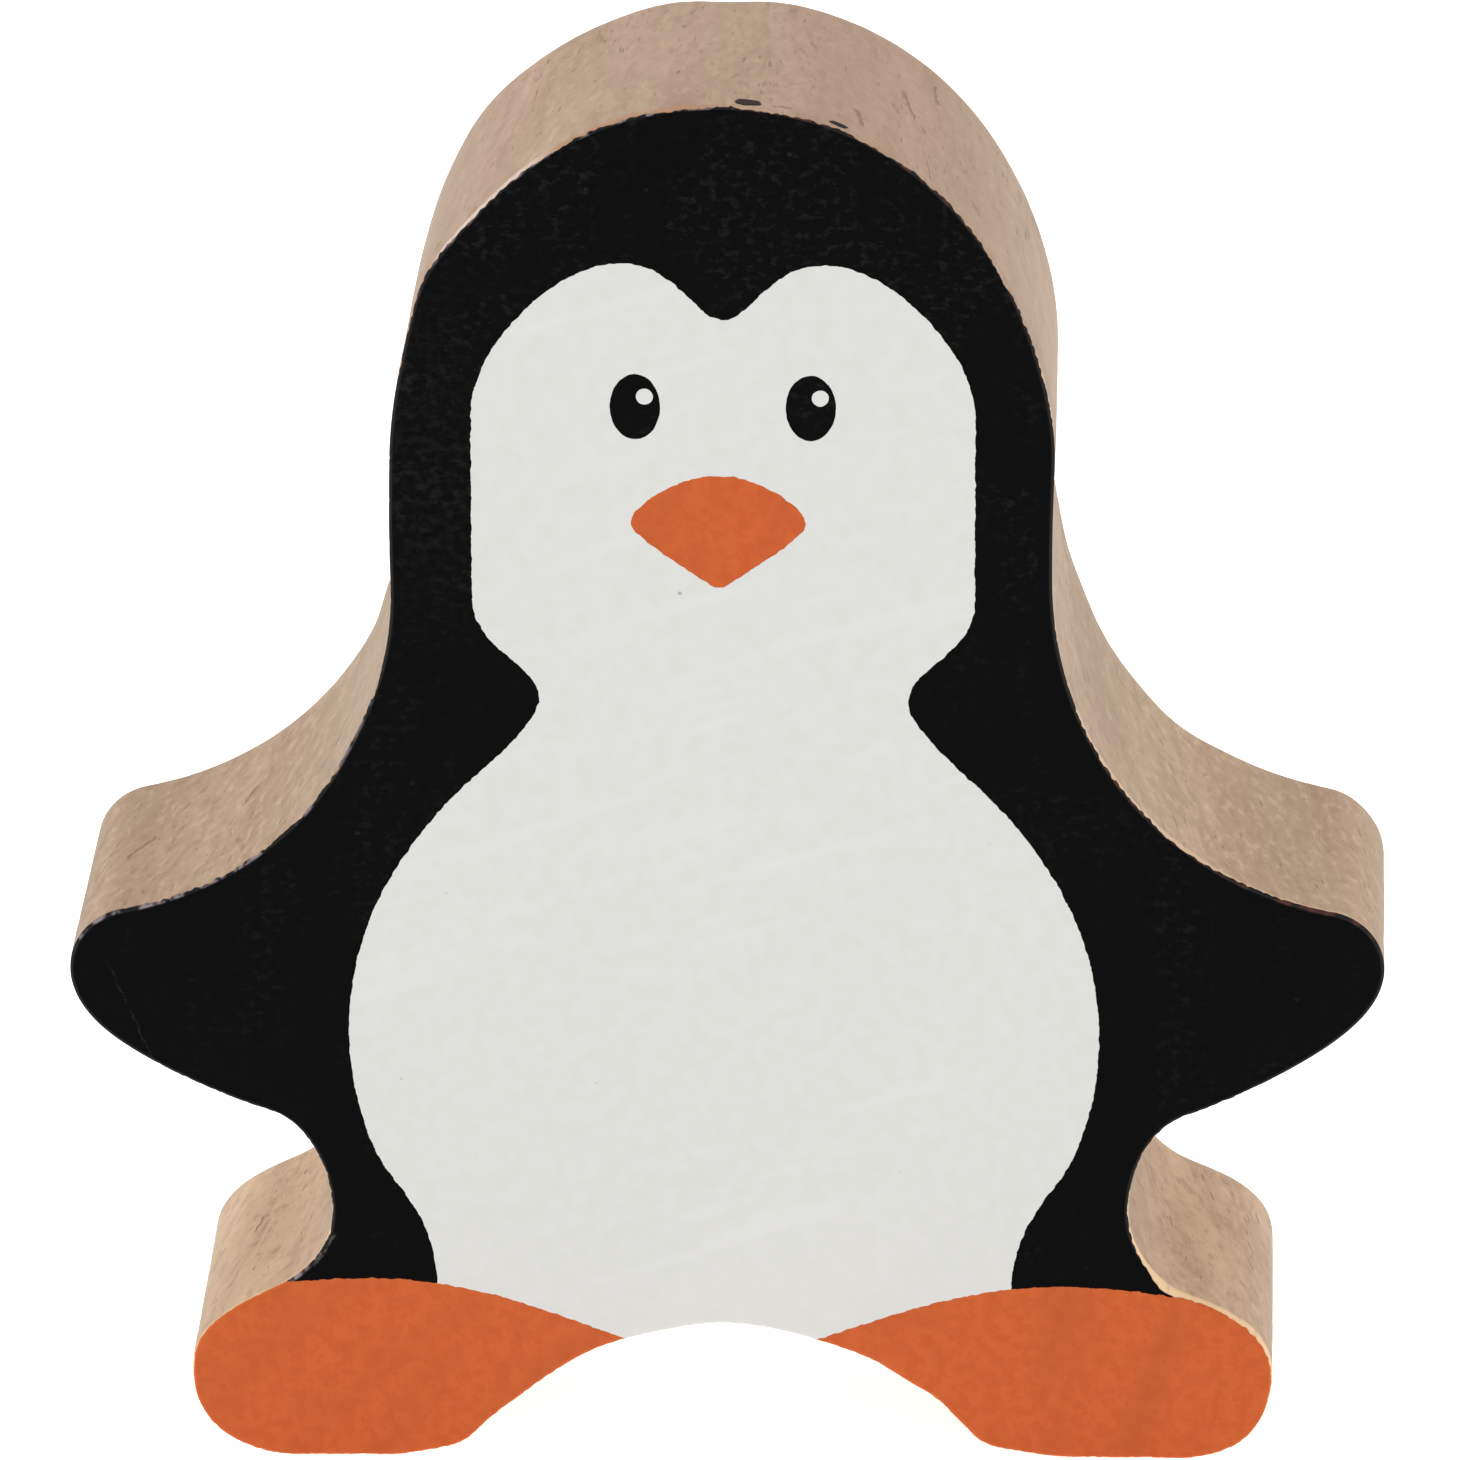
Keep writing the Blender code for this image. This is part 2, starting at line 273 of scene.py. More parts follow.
def blank_half(arch_shift, step):
    """Right half of the blank, from the crown to the top of the arch."""
    return curve_through([
        Knot(0, CROWN, 0, 0, 0.395),
        Knot(HEAD_WIDTH / 2, CROWN - HEAD_DOME, -90, 0.405, STRAIGHT),
        Knot(HEAD_WIDTH / 2, CROWN - HEAD_DEPTH, -90, STRAIGHT, 0.43),
        Knot(WING - WING_TIP_SET_BACK, WING_TIP_HEIGHT + WING_TIP_RISE, -11, 0.34, 0.34),
        Knot(WING, WING_TIP_HEIGHT, -92, 0.42, 0.26),
        Knot(ARMPIT_WIDTH / 2, ARMPIT_HEIGHT, -159, 0.38, 0.28),
        Knot(WAIST_WIDTH / 2, WAIST_HEIGHT, -90, 0.43, 0.42),
        Knot(ANKLE_WIDTH / 2, FOOT_HEIGHT, -38, 0.27, 0.25),
        Knot(FOOT_SPAN / 2, TOE_HEIGHT, -92, 0.44, 0.40),
        Knot(SOLE_OUTER_WIDTH / 2, 0, 180, 0.40, STRAIGHT),
        Knot(SOLE_INNER_WIDTH / 2, 0, 180, STRAIGHT, 0.40),
        Knot(HEEL_WIDTH / 2 + arch_shift, HEEL_LIFT, 158, 0.20, 0.35),
        Knot(HEEL_WIDTH / 2 - HEEL_ROUNDING + arch_shift, HEEL_LIFT + 0.8, 136, 0.50, 0.39),
        Knot(ARCH_SHOULDER_WIDTH / 2 + arch_shift, ARCH_HEIGHT - ARCH_SHOULDER_DROP,
             157, 0.20, 0.33),
        Knot(arch_shift, ARCH_HEIGHT, 180, 0.24, 0),
    ], step)


def blank_outline(step=WOOD_STEP, fuller=FULLER):
    drawn = closed(blank_half(ARCH_SHIFT, step), mirrored(blank_half(-ARCH_SHIFT, step)))
    return offset(drawn, lambda point: sum_at(fuller, point))


def inked_outline():
    """How far the ink reaches: almost to the rim, with bare stretches and small chips."""
    def inwards(point):
        slow = noise.noise(Vector((point.x, point.y, 20.0)) / RIM_WANDER_LENGTH)
        fine = noise.noise(Vector((point.x, point.y, 1.0)) / RIM_GRAIN)
        short = RIM_COVER + sum_at(BARE_RIM, point) + RIM_WANDER * slow + RIM_RAGGED * fine
        return -LEAST_BARE - max(0.0, short)
    return offset(blank_outline(PRINT_STEP), inwards)


def white_outline():
    """Face and belly in one, run on below the legs for the feet and the arch to trim."""
    cheek = HEAD_WIDTH / 2 - COAT_BAND
    half = curve_through([
        Knot(0, CROWN - BROW_DROP, 0, 0, 0.24),
        Knot(LOBE_SPACING / 2, CROWN - LOBE_DROP, 0, 0.475, 0.36),
        Knot(cheek - TEMPLE_SET_BACK, CROWN - TEMPLE_DROP, -68, 0.23, 0.40),
        Knot(cheek, CROWN - CHEEK_TOP_DROP, -90, 0.36, STRAIGHT),
        Knot(cheek, CROWN - CHEEK_LOW_DROP, -90, STRAIGHT, 0.20),
        Knot(cheek - JAW_SET_BACK, CROWN - JAW_DROP, -129, 0.38, 0.34),
        Knot(NAPE_WIDTH / 2, CROWN - NAPE_DROP, -92, 0.33, 0.21),
        Knot(SHIRT_SHOULDER_WIDTH / 2, CROWN - SHIRT_SHOULDER_DROP, -43, 0.23, 0.28),
        Knot(BELLY_WIDTH / 2, BELLY_HEIGHT, -90, 0.41, 0.42),
        Knot(THIGH_WIDTH / 2, THIGH_HEIGHT, -126, 0.22, 0.25),
        Knot(LEG_WIDTH / 2, FOOT_HEIGHT, -92, 0.44, STRAIGHT),
        Knot(LEG_WIDTH / 2, -OFF_THE_BLANK, -90, STRAIGHT, 0),
    ], PRINT_STEP)
    half.append(Vector((0, -OFF_THE_BLANK)))
    return closed(half, mirrored(half))


def right_foot_outline():
    """Everything under the instep line, run on past the blank for it to trim."""
    beyond = FOOT_SPAN / 2 + OFF_THE_BLANK
    fall_beyond = (beyond - ANKLE_WIDTH / 2) * tan(radians(INSTEP_SLOPE))
    instep = curve_through([
        Knot(INSTEP_TIP_HALF_WIDTH, FOOT_HEIGHT - INSTEP_TIP_DROP, 19, 0, 0.30),
        Knot(INSTEP_HALF_WIDTH, FOOT_HEIGHT, 0, 0.38, STRAIGHT),
        Knot(ANKLE_WIDTH / 2, FOOT_HEIGHT - INSTEP_FALL, -INSTEP_SLOPE, STRAIGHT, STRAIGHT),
        Knot(beyond, FOOT_HEIGHT - INSTEP_FALL - fall_beyond, -INSTEP_SLOPE, STRAIGHT, 0),
    ], PRINT_STEP)
    corners = [Vector((beyond, -OFF_THE_BLANK)),
               Vector((INSTEP_TIP_HALF_WIDTH, -OFF_THE_BLANK))]
    return instep + corners


def beak_outline():
    top = CROWN - BEAK_DROP
    corner = top - BEAK_CORNER_DROP
    tip = top - BEAK_HEIGHT
    half = curve_through([
        Knot(0, top, 0, 0, 0.36),
        Knot(BEAK_WIDTH / 2 - 0.64, corner + 0.88, -41, 0.33, 0.40),
        Knot(BEAK_WIDTH / 2, corner, -86, 0.30, 0.40),
        Knot(BEAK_WIDTH / 2 - 0.45, corner - 0.7, -138, 0.30, 0.32),
        Knot(0.31, tip + 0.09, -147, 0.17, 0.30),
        Knot(0, tip, 180, 0.30, 0),
    ], PRINT_STEP)
    return closed(half, mirrored(half))


def eye_outline(side):
    return ellipse(side * EYE_SPACING / 2, CROWN - EYE_DROP, EYE_WIDTH, EYE_HEIGHT)


def glint_outline(side):
    """The small round light in an eye, on the same side of both eyes."""
    return ellipse(side * EYE_SPACING / 2 + GLINT_RIGHT, CROWN - EYE_DROP + GLINT_UP,
                   GLINT_DIAMETER, GLINT_DIAMETER)


# Meshes

def plate(name, loop, front, back, arris=0.0):
    """A flat plate of this outline between two depths, its front rim rounded if asked."""
    shape = bmesh.new()
    rim = [shape.verts.new((point.x * MM, front * MM, point.y * MM)) for point in loop]
    face = shape.faces.new(rim)
    grown = bmesh.ops.extrude_face_region(shape, geom=[face])["geom"]
    moved = [part for part in grown if isinstance(part, bmesh.types.BMVert)]
    bmesh.ops.translate(shape, verts=moved, vec=(0, (back - front) * MM, 0))
    bmesh.ops.recalc_face_normals(shape, faces=shape.faces)
    if arris:
        round_rim(shape, front, arris)
    return as_object(name, shape)


def round_rim(shape, depth, radius):
    rim = [edge for edge in shape.edges
           if all(abs(vert.co.y - depth * MM) < MM / 100 for vert in edge.verts)]
    bmesh.ops.bevel(shape, geom=rim, offset=radius * MM, segments=ARRIS_STEPS,
                    profile=0.5, affect="EDGES", material=-1, clamp_overlap=False)


def as_object(name, shape, angle=35):
    mesh = bpy.data.meshes.new(name)
    shape.to_mesh(mesh)
    shape.free()
    mesh.shade_smooth()
    mesh.set_sharp_from_angle(angle=radians(angle))
    piece = bpy.data.objects.new(name, mesh)
    bpy.context.collection.objects.link(piece)
    return piece


def carve(piece, *cuts):
    """Cuts the piece with each (operation, tool) in turn and keeps the result as its mesh."""
    for operation, tool in cuts:
        cut = piece.modifiers.new(tool.name, "BOOLEAN")
        cut.operation = operation
        cut.solver = "EXACT"
        cut.object = tool
    depsgraph = bpy.context.evaluated_depsgraph_get()
    mesh = bpy.data.meshes.new_from_object(piece.evaluated_get(depsgraph))
    piece.modifiers.clear()
    piece.data = mesh
    mesh.set_sharp_from_angle(angle=radians(35))
    return piece


def join(piece, extra):
    """Makes the extra object's mesh part of the piece."""
    shape = bmesh.new()
    shape.from_mesh(piece.data)
    shape.from_mesh(extra.data)
    shape.to_mesh(piece.data)
    shape.free()
    bpy.data.objects.remove(extra)


def build_board():
    """The sawn and sanded blank: rounded rims, and sides that are never quite flat."""
    shape = bmesh.new()
    outline = blank_outline()
    rim = [shape.verts.new((point.x * MM, WOOD_FRONT * MM, point.y * MM)) for point in outline]
    face = shape.faces.new(rim)
    grown = bmesh.ops.extrude_face_region(shape, geom=[face])["geom"]
    far = {part for part in grown if isinstance(part, bmesh.types.BMVert)}
    for vert, point in zip(rim, blank_outline(fuller=FULLER_BEHIND)):
        behind = next(edge.other_vert(vert) for edge in vert.link_edges
                      if edge.other_vert(vert) in far)
        behind.co = (point.x * MM, BACK * MM, point.y * MM)
    bmesh.ops.recalc_face_normals(shape, faces=shape.faces)
    round_rim(shape, WOOD_FRONT, ARRIS)
    round_rim(shape, BACK, ARRIS)
    ends = [face for face in shape.faces if len(face.verts) > 4]
    bmesh.ops.inset_individual(shape, faces=ends, thickness=HOLDING_RING * MM)
    long_edges = [edge for edge in shape.edges
                  if abs(edge.verts[0].co.y - edge.verts[1].co.y) > (BACK - FRONT) * MM / 2]
    bmesh.ops.subdivide_edges(shape, edges=long_edges, cuts=SIDE_ROWS, use_grid_fill=True)
    shape.normal_update()
    for vert in shape.verts:
        vert.co += sanding(vert)
    return as_object("wooden_board", shape)


def sanding(vert):
    """How far the sanded side wanders there; nothing at the front rim, where the ink sits."""
    depth = vert.co.y / MM - WOOD_FRONT
    fade = min(max((depth - ARRIS) / 1.2, 0.0), 1.0)
    place = vert.co / MM
    slow = noise.noise(place * 0.35)
    fine = noise.noise(Vector((place.x, place.y * 1.6, place.z * 0.7)) * 1.9)
    out = Vector((vert.normal.x, 0, vert.normal.z))
    return out * fade * SANDING * (slow + 0.35 * fine) * MM


# Finishes

FLOOR_GLOW = 0.66


def tone(red, green, blue):
    """A colour from its screen values, 0 to 255, as a linear one."""
    linear = []
    for level in (red, green, blue):
        share = level / 255
        linear.append(share / 12.92 if share <= 0.04045 else ((share + 0.055) / 1.055) ** 2.4)
    return (*linear, 1.0)


class Field:
    """A number that varies over a surface. Arithmetic on it adds Math nodes."""

    def __init__(self, finish, socket):
        self.finish = finish
        self.socket = socket

    def maths(self, operation, first, second=0.0):
        return self.finish.node("ShaderNodeMath", {"operation": operation},
                                {0: first, 1: second})

    def __add__(self, other):
        return self.maths("ADD", self, other)

    def __radd__(self, other):
        return self.maths("ADD", other, self)

    def __sub__(self, other):
        return self.maths("SUBTRACT", self, other)

    def __rsub__(self, other):
        return self.maths("SUBTRACT", other, self)

    def __mul__(self, other):
        return self.maths("MULTIPLY", self, other)

    def __rmul__(self, other):
        return self.maths("MULTIPLY", other, self)

    def __truediv__(self, other):
        return self.maths("DIVIDE", self, other)

    def __pow__(self, other):
        return self.maths("POWER", self, other)

    def __abs__(self):
        return self.maths("ABSOLUTE", self)


class Finish:
    """One material: its nodes and the Principled shader that they feed."""

    def __init__(self, name, **constants):
        self.material = bpy.data.materials.new(name)
        self.material.use_nodes = True
        self.tree = self.material.node_tree
        self.shader = self.tree.nodes["Principled BSDF"]
        for socket, value in constants.items():
            self.shader.inputs[socket.replace("_", " ")].default_value = value

    def node(self, kind, settings=None, inputs=None, output=0):
        made = self.tree.nodes.new(kind)
        for name, value in (settings or {}).items():
            setattr(made, name, value)
        for key, value in (inputs or {}).items():
            if isinstance(value, Field):
                self.tree.links.new(value.socket, made.inputs[key])
            else:
                made.inputs[key].default_value = value
        return Field(self, made.outputs[output])

    def feed(self, **fields):
        for socket, field in fields.items():
            self.tree.links.new(field.socket, self.shader.inputs[socket.replace("_", " ")])

    def place(self):
        """Where on the piece, in millimetres."""
        metres = self.node("ShaderNodeTexCoord", output="Object")
        return self.node("ShaderNodeVectorMath", {"operation": "SCALE"},
                         {0: metres, "Scale": 1 / MM})

    def split(self, place):
        return [self.node("ShaderNodeSeparateXYZ", inputs={0: place}, output=axis)
                for axis in range(3)]

    def join(self, x, y, z):
        return self.node("ShaderNodeCombineXYZ", inputs={0: x, 1: y, 2: z})

    def stretched(self, place, scale, lean=0, shift=(0, 0, 0)):
        """The place scaled along each axis, after leaning the pattern anticlockwise."""
        if lean:
            place = self.node("ShaderNodeMapping",
                              inputs={0: place, "Rotation": (0, radians(lean), 0)})
        return self.node("ShaderNodeVectorMath", {"operation": "MULTIPLY_ADD"},
                         {0: place, 1: scale, 2: shift})

    def grain(self, place, scale=1.0, detail=2.0, roughness=0.5):
        """Smooth noise from 0 to 1."""
        return self.node("ShaderNodeTexNoise", {"noise_dimensions": "3D"},
                         {"Vector": place, "Scale": scale, "Detail": detail,
                          "Roughness": roughness})

    def spots(self, place, scale=1.0):
        """Distance to the nearest of many scattered points."""
        return self.node("ShaderNodeTexVoronoi", {"feature": "F1"},
                         {"Vector": place, "Scale": scale}, output="Distance")

    def ramp(self, value, low, high, start=0.0, end=1.0):
        """Goes smoothly from start to end as the value goes from low to high."""
        return self.node("ShaderNodeMapRange",
                         {"interpolation_type": "SMOOTHSTEP"},
                         {"Value": value, "From Min": low, "From Max": high,
                          "To Min": start, "To Max": end})

    def blend(self, share, first, second):
        """First colour where the share is 0, second where it is 1."""
        return self.node("ShaderNodeMix", {"data_type": "RGBA"},
                         {0: share, 6: first, 7: second}, output=2)

    def relief(self, height, depth):
        """Bump from a height of 0 to 1, so many millimetres deep."""
        return self.node("ShaderNodeBump",
                         inputs={"Strength": 1.0, "Distance": depth * MM, "Height": height})


PITH_BEHIND = 105.0
PITH_RIGHT = 1.5
PAINTED_SIDE_SHADE = 0.34

# Torn grain and long flecks on the upper faces: the middle in x and y, how far it leans
# from front-to-back, its length and its width
Mark = namedtuple("Mark", "x y lean length width")
MARKS = [Mark(-25.0, -0.5, 31, 2.3, 0.22), Mark(8.65, 4.5, -3, 2.4, 0.15),
         Mark(7.6, 0.6, -12, 2.8, 0.19), Mark(5.75, -4.9, -10, 2.0, 0.20),
         Mark(2.65, -6.75, 80, 0.9, 0.16), Mark(-20.4, 1.0, 14, 1.6, 0.18)]


def beech():
    """Beech cut across its rays: soft bands and dark flecks that fan from the pith."""
    finish = Finish("beech", Specular_IOR_Level=0.2)
    place = finish.place()
    x, y, z = finish.split(place)
    across = x - PITH_RIGHT
    inward = (BACK + PITH_BEHIND) - y
    radius = (across * across + inward * inward) ** 0.5
    turn = finish.node("ShaderNodeMath", {"operation": "ARCTAN2"}, {0: across, 1: inward})
    sweep = turn * (BACK + PITH_BEHIND)
    drift = finish.grain(finish.stretched(place, (0.35, 0.16, 0.25)), detail=2.0)
    polar = finish.join(sweep + (drift - 0.5) * 1.6, radius, z)
    facing = finish.node("ShaderNodeTexCoord", output="Normal")
    sideways, backwards, upright = finish.split(facing)

    hue = finish.grain(finish.stretched(polar, (0.46, 0.03, 0.05)), detail=2.0)
    shade = finish.grain(finish.stretched(polar, (0.34, 0.04, 0.07), shift=(7, 0, 3)), detail=3.0)
    streak = finish.grain(finish.stretched(polar, (1.5, 0.09, 0.12), shift=(1, 5, 2)), detail=2.0)
    cloud = finish.grain(finish.stretched(polar, (1.1, 0.45, 0.7), shift=(5, 2, 6)), detail=3.0)
    mottle = finish.grain(finish.stretched(polar, (2.7, 1.0, 1.5)), detail=4.0, roughness=0.62)
    crowd = finish.grain(finish.stretched(polar, (0.26, 0.10, 0.14), shift=(4, 9, 1)))
    small = finish.grain(finish.stretched(polar, (4.0, 1.1, 1.4), shift=(2, 1, 4)), detail=2.0)
    large = finish.grain(finish.stretched(polar, (4.2, 0.55, 0.8), shift=(3, 3, 8)), detail=1.0)
    small_mark = finish.ramp(small + (crowd - 0.5) * 0.30, 0.63, 0.74)
    large_mark = finish.ramp(large + (crowd - 0.5) * 0.25, 0.71, 0.78)

    left = finish.ramp(x, 5.0, -5.0)
    colour = finish.blend(finish.ramp(hue, 0.42, 0.58), tone(183, 155, 134), tone(180, 156, 132))
    colour = finish.blend(finish.ramp(z, 46, 32) * 0.40, colour, tone(177, 151, 117))
    # Painted light: the sides of the feet are made lighter, more so on the left, as if a low lamp
    # from the left fell on them.
    painted_light_sides = finish.ramp(abs(backwards), 0.9, 0.6)
    colour = finish.blend(finish.ramp(z, 13.5, 7.5) * painted_light_sides * (0.38 + 0.24 * left), colour,
                          tone(230, 197, 165))
    colour = finish.blend(finish.ramp(shade, 0.44, 0.66) * 0.32, colour, tone(153, 123, 100))
    colour = finish.blend(finish.ramp(streak, 0.50, 0.70) * 0.24, colour, tone(146, 117, 94))
    colour = finish.blend(finish.ramp(cloud, 0.50, 0.68) * 0.22, colour, tone(155, 127, 105))
    calm = 1.0 - 0.35 * finish.ramp(z, 40, 50)
    colour = finish.blend(finish.ramp(mottle, 0.50, 0.70) * calm * 0.40, colour,
                          tone(210, 184, 160))
    colour = finish.blend(finish.ramp(mottle, 0.50, 0.30) * calm * 0.42, colour,
                          tone(146, 119, 97))
    colour = finish.blend(small_mark * 0.30, colour, tone(122, 96, 76))
    colour = finish.blend(large_mark * 0.36, colour, tone(112, 87, 69))
    darker_band = finish.ramp(x, 1.5, 5.0) * finish.ramp(x, 12.5, 9.0) * finish.ramp(z, 50, 54)
    colour = finish.blend(darker_band * 0.30, colour, tone(140, 110, 88))

    torn = 0.0
    wobble = (finish.grain(finish.stretched(place, (2.4, 1.6, 2.2)), detail=3.0) - 0.5) * 0.6
    for mark in MARKS:
        lean = radians(mark.lean)
        from_x = x - mark.x
        from_y = y - mark.y
        along = from_x * sin(lean) + from_y * cos(lean)
        beside = from_x * cos(lean) - from_y * sin(lean) + wobble
        torn = torn + (finish.ramp(abs(beside), mark.width * 0.75, mark.width * 0.25)
                       * finish.ramp(abs(along), mark.length * 0.55, mark.length * 0.35))
    torn = torn * finish.ramp(upright, 0.1, 0.4)
    colour = finish.blend(torn * 0.48, colour, tone(106, 84, 68))
    # Painted shade: the faces that look left or right are made darker and greyer.
    sideways_shade = finish.ramp(abs(sideways), 0.55, 1.0)
    colour = finish.blend(sideways_shade * PAINTED_SIDE_SHADE, colour, tone(112, 103, 90))

    depth = y - FRONT
    head = finish.ramp(z, CROWN - 12, CROWN - 10)
    # Painted highlight: a pale line along the rim of the head, left of the crown.
    head_rim_highlight = head * finish.ramp(x, -6.4, -8.0) * finish.ramp(x, -11.9, -11.2)
    singed = head * finish.ramp(x, 1.2, -1.0)
    near_rim = finish.ramp(depth + (mottle - 0.5) * 0.7, 0.46, 0.22)
    at_rim = finish.ramp(depth + (cloud - 0.5) * 0.3, 0.34, 0.20)
    # Painted highlights: the wood along the rounded rim is made lighter left of x = -12 below the
    # head, and all around the feet.
    sawn = finish.ramp(x, -15.0, -12.0)
    colour = finish.blend(at_rim * (1.0 - head) * sawn * 0.60, colour, tone(216, 186, 156))
    colour = finish.blend(at_rim * finish.ramp(z, 12, 10) * 0.70, colour, tone(226, 192, 150))
    colour = finish.blend(near_rim * singed * 0.60, colour, tone(180, 132, 98))
    colour = finish.blend(near_rim * head_rim_highlight * 0.75, colour, tone(220, 202, 190))

    height = mottle * 0.6 - small_mark * 0.5 - large_mark * 0.8 - torn * 0.8
    finish.feed(Base_Color=colour, Roughness=0.58 + 0.16 * mottle,
                Normal=finish.relief(height, 0.05))
    return finish.material


SCRATCH = Mark(-24.95, 20.05, 22, 5.3, 0.07)
SCUFF = Mark(-17.2, 9.5, -32, 1.8, 0.34)


def black_ink():
    """Satin black: unfilled pores show as soft grey blotches, crowded in upright columns."""
    finish = Finish("black_ink", Specular_IOR_Level=0.03)
    place = finish.place()
    x, y, z = finish.split(place)
    wobble = finish.grain(finish.stretched(place, (1.8, 0.0, 1.8)), detail=3.0)
    pores = finish.grain(finish.stretched(place, (1.9, 0.0, 2.6)), detail=4.0, roughness=0.65)
    columns = finish.grain(finish.stretched(place, (0.42, 0.0, 0.05), shift=(0.6, 0, 0)))
    rows = finish.grain(finish.stretched(place, (0.22, 0.0, 0.26), shift=(3.0, 0.0, 1.0)))
    crowd = finish.ramp(columns + rows + z * 0.0035, 1.06, 1.26)
    pore = finish.ramp(pores, 0.50, 0.66) * (0.10 + 0.90 * crowd)
    which = finish.grain(finish.stretched(place, (0.6, 0.0, 0.6), shift=(0.4, 0, 0.7)))
    dots = finish.ramp(finish.spots(finish.stretched(place, (0.62, 0.0, 0.7))), 0.09, 0.04)
    dots = dots * finish.ramp(which - x * 0.003, 0.46, 0.62)
    colour = finish.blend(wobble, tone(3, 3, 3), tone(8, 8, 8))
    colour = finish.blend(pore * (0.24 + 0.18 * finish.ramp(z, 30, 50)), colour, tone(35, 35, 34))
    colour = finish.blend(dots * 0.40, colour, tone(46, 46, 44))
    cheek = finish.ramp(x, -9.8, -11.2) * finish.ramp(z, 36, 42) * finish.ramp(z, 54, 48)
    colour = finish.blend(cheek * finish.ramp(pores, 0.42, 0.64) * 0.4, colour, tone(29, 29, 28))

    for mark, share in ((SCRATCH, 0.10), (SCUFF, 0.8)):
        lean = radians(mark.lean)
        from_x = x - mark.x
        from_z = z - mark.y
        along = from_z * cos(lean) - from_x * sin(lean)
        beside = from_x * cos(lean) + from_z * sin(lean) + (wobble - 0.5) * 0.3
        worn = (finish.ramp(abs(beside), mark.width * 0.7, mark.width * 0.2)
                * finish.ramp(abs(along), mark.length * 0.55, mark.length * 0.35)
                * finish.ramp(pores, 0.40, 0.56))
        colour = finish.blend(worn * share, colour, tone(96, 92, 92))

    facing = finish.node("ShaderNodeTexCoord", output="Normal")
    lean_x, towards_front, upright = finish.split(facing)
    # Painted sheen: the black turns grey where its rounded rim turns away from the front.
    at_rim = finish.ramp(abs(towards_front), 0.985, 0.88)
    colour = finish.blend(at_rim, colour, tone(34, 33, 34))
    # Along the upward-facing rim, the pale purple-grey dashes on the left are painted highlights;
    # on the right the dashes are reddish brown.
    upward_rim = at_rim * finish.ramp(upright, 0.1, 0.5)
    rim_dashes = finish.grain(finish.stretched(place, (1.3, 0.0, 1.3), shift=(0.2, 0, 0.1)), detail=4.0)
    left = finish.ramp(x, 1.0, -1.0)
    colour = finish.blend(upward_rim * finish.ramp(rim_dashes, 0.48, 0.60) * left * 0.8, colour,
                          tone(150, 136, 142))
    colour = finish.blend(upward_rim * finish.ramp(rim_dashes, 0.44, 0.60) * (1.0 - left) * 0.9, colour,
                          tone(84, 52, 46))
    fine = finish.grain(finish.stretched(place, (5.0, 0.0, 1.6)), detail=3.0)
    finish.feed(Base_Color=colour, Roughness=0.42 + 0.16 * wobble,
                Normal=finish.relief(fine * 0.7 + pore * 0.6, 0.012))
    return finish.material


def white_ink():
    """Matt white with faint slanting wipe marks and a few dark specks."""
    finish = Finish("white_ink", Specular_IOR_Level=0.25)
    place = finish.place()
    wipes = finish.grain(finish.stretched(place, (0.09, 0.0, 0.9), lean=17), detail=2.0)
    mottle = finish.grain(finish.stretched(place, (1.3, 0.0, 1.3)), detail=4.0)
    where = finish.grain(finish.stretched(place, (0.07, 0.0, 0.07), shift=(0.5, 0, 0.2)))
    specks = finish.ramp(finish.spots(finish.stretched(place, (0.30, 0.0, 0.30))), 0.034, 0.018)
    colour = finish.blend(finish.ramp(mottle, 0.35, 0.65), tone(197, 197, 193), tone(199, 199, 196))
    wiped = finish.ramp(wipes, 0.52, 0.70) * finish.ramp(where, 0.40, 0.60)
    colour = finish.blend(wiped * 0.4, colour, tone(206, 206, 204))
    colour = finish.blend(specks * 0.55, colour, tone(120, 116, 110))
    finish.feed(Base_Color=colour, Roughness=0.50 + 0.12 * mottle,
                Normal=finish.relief(mottle, 0.010))
    return finish.material


def orange_ink():
    """Orange over wood: broad, faint slanting bands and fine dark flecks."""
    finish = Finish("orange_ink", Specular_IOR_Level=0.14)
    place = finish.place()
    x, y, z = finish.split(place)
    right = finish.ramp(x, -1.0, 1.0)
    left_bands = finish.grain(finish.stretched(place, (0.06, 0.0, 0.42), lean=48), detail=2.0)
    right_bands = finish.grain(finish.stretched(place, (0.05, 0.0, 0.46), lean=72,
                                                shift=(0, 0, 0.35)), detail=2.0)
    bands = (finish.ramp(left_bands, 0.50, 0.68) * (1.0 - right) * 0.40
             + finish.ramp(right_bands, 0.50, 0.70) * right * 0.50)
    mottle = finish.grain(finish.stretched(place, (1.5, 0.0, 1.5)), detail=4.0, roughness=0.66)
    patch = finish.grain(finish.stretched(place, (0.55, 0.0, 0.55), shift=(2, 0, 5)), detail=3.0)
    flecks = finish.ramp(finish.spots(finish.stretched(place, (1.1, 0.0, 0.6))), 0.10, 0.03)
    colour = finish.blend(finish.ramp(mottle, 0.42, 0.58), tone(186, 88, 40), tone(180, 82, 36))
    colour = finish.blend(finish.ramp(patch, 0.48, 0.66) * 0.3, colour, tone(173, 79, 34))
    colour = finish.blend(bands, colour, tone(166, 77, 33))
    colour = finish.blend(flecks * 0.30, colour, tone(150, 66, 30))
    facing = finish.node("ShaderNodeTexCoord", output="Normal")
    towards_front = abs(finish.split(facing)[1])
    colour = finish.blend(finish.ramp(towards_front, 0.96, 0.75) * 0.8, colour, tone(196, 92, 34))
    colour = finish.blend(finish.ramp(towards_front, 0.55, 0.30) * 0.8, colour, tone(206, 142, 88))
    finish.feed(Base_Color=colour, Roughness=0.46 + 0.12 * mottle,
                Normal=finish.relief(mottle, 0.010))
    return finish.material


